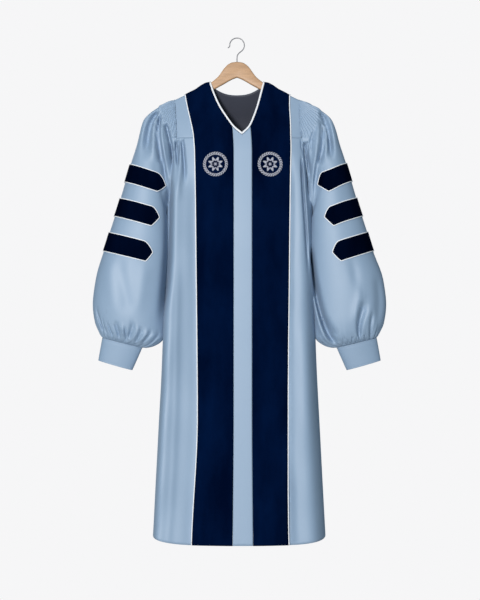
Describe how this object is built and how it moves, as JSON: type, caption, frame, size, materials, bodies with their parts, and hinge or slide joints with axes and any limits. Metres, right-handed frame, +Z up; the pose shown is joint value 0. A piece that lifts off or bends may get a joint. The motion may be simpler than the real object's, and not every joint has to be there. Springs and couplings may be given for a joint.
{
  "type": "graduation gown on a hanger",
  "caption": "Doctoral gown in light blue cloth with dark velvet front panels, sleeve bars and gathered bishop sleeves, hanging on a wooden hanger with a wire hook.",
  "frame": {"origin": "underside of the hook's crown, where a rail bears", "axes": "+Z up, -Y out of the gown's front, +X towards the wearer's left"},
  "size_m": [0.8172, 0.2314, 1.4025],
  "materials": {
    "gown_cloth": "matte",
    "velvet": "matte",
    "white_piping": "satin",
    "lining": "matte",
    "hanger_wood": "satin",
    "hook_wire": "satin"
  },
  "bodies": {
    "root": {"back_neck_lining": "lining", "back_panel": "gown_cloth", "back_yoke": "gown_cloth", "bar_piping_left_1": "white_piping", "bar_piping_left_2": "white_piping", "bar_piping_left_3": "white_piping", "bar_piping_right_1": "white_piping", "bar_piping_right_2": "white_piping", "bar_piping_right_3": "white_piping", "cuff_left": "gown_cloth", "cuff_right": "gown_cloth", "front_left": "gown_cloth", "front_placket": "gown_cloth", "front_right": "gown_cloth", "front_yoke_left": "gown_cloth", "front_yoke_right": "gown_cloth", "hanger_hook": "hook_wire", "hanger_wood": "hanger_wood", "neck_binding": "white_piping", "sleeve_left": "gown_cloth", "sleeve_right": "gown_cloth", "velvet_bar_left_1": "velvet", "velvet_bar_left_2": "velvet", "velvet_bar_left_3": "velvet", "velvet_bar_right_1": "velvet", "velvet_bar_right_2": "velvet", "velvet_bar_right_3": "velvet", "velvet_panel_left": "velvet", "velvet_panel_right": "velvet", "velvet_piping_left": "white_piping", "velvet_piping_right": "white_piping"}
  },
  "joints": []
}
